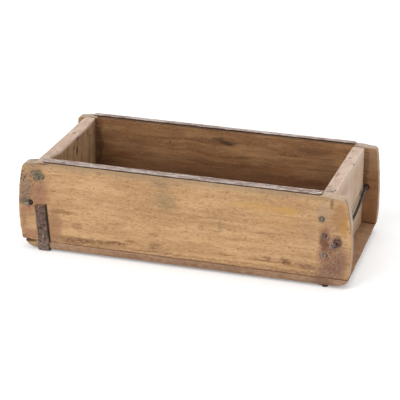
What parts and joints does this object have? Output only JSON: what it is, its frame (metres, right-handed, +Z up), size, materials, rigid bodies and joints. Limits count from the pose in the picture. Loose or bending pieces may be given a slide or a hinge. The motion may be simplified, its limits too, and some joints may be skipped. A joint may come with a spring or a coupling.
{
  "type": "brick mould",
  "caption": "Old hand-made brick mould: an open-topped box of nailed boards with projecting ears, hoop-iron wear strips and straps, and an iron bail handle at each end.",
  "frame": {"origin": "on the ground, halfway between the tips of the front board's ears and halfway between the outer faces of the two side boards", "axes": "+X runs along the mould to the right end, +Y from the front board to the back board, +Z up out of the cavity"},
  "size_m": [0.3078, 0.1473, 0.0864],
  "materials": {
    "front_board": "bare, weathered",
    "back_board": "bare, weathered",
    "left_end_board": "bare, weathered",
    "right_end_board": "bare, weathered",
    "bottom_board": "bare, weathered",
    "front_wear_strip": "hoop iron, worn smooth",
    "back_wear_strip": "hoop iron, worn smooth",
    "left_strap": "hoop iron, rusted",
    "right_strap": "hoop iron, rusted",
    "left_handle": "forged rod, rusted",
    "right_handle": "forged rod, rusted",
    "front_board_nails": "rusted",
    "back_board_nails": "rusted",
    "bottom_nails": "rusted",
    "front_strip_nails": "rusted",
    "back_strip_nails": "rusted",
    "left_strap_nails": "rusted",
    "right_strap_nails": "rusted"
  },
  "bodies": {
    "mould": {"front_board": "front_board", "back_board": "back_board", "left_end_board": "left_end_board", "right_end_board": "right_end_board", "bottom_board": "bottom_board", "front_wear_strip": "front_wear_strip", "back_wear_strip": "back_wear_strip", "left_strap": "left_strap", "right_strap": "right_strap", "front_board_nails": "front_board_nails", "back_board_nails": "back_board_nails", "bottom_nails": "bottom_nails", "front_strip_nails": "front_strip_nails", "back_strip_nails": "back_strip_nails", "left_strap_nails": "left_strap_nails", "right_strap_nails": "right_strap_nails"},
    "left_handle": {"left_handle": "left_handle"},
    "right_handle": {"right_handle": "right_handle"}
  },
  "joints": [
    {"name": "left_handle_swing", "type": "hinge", "parent": "mould", "child": "left_handle", "pos_m": [-0.14155, 0.00225, 0.0458], "axis": [0, 1, 0], "range_deg": [0, 180]},
    {"name": "right_handle_swing", "type": "hinge", "parent": "mould", "child": "right_handle", "pos_m": [0.13865, 0.00225, 0.04324], "axis": [0, -0.9995, -0.0321], "range_deg": [0, 180]}
  ]
}
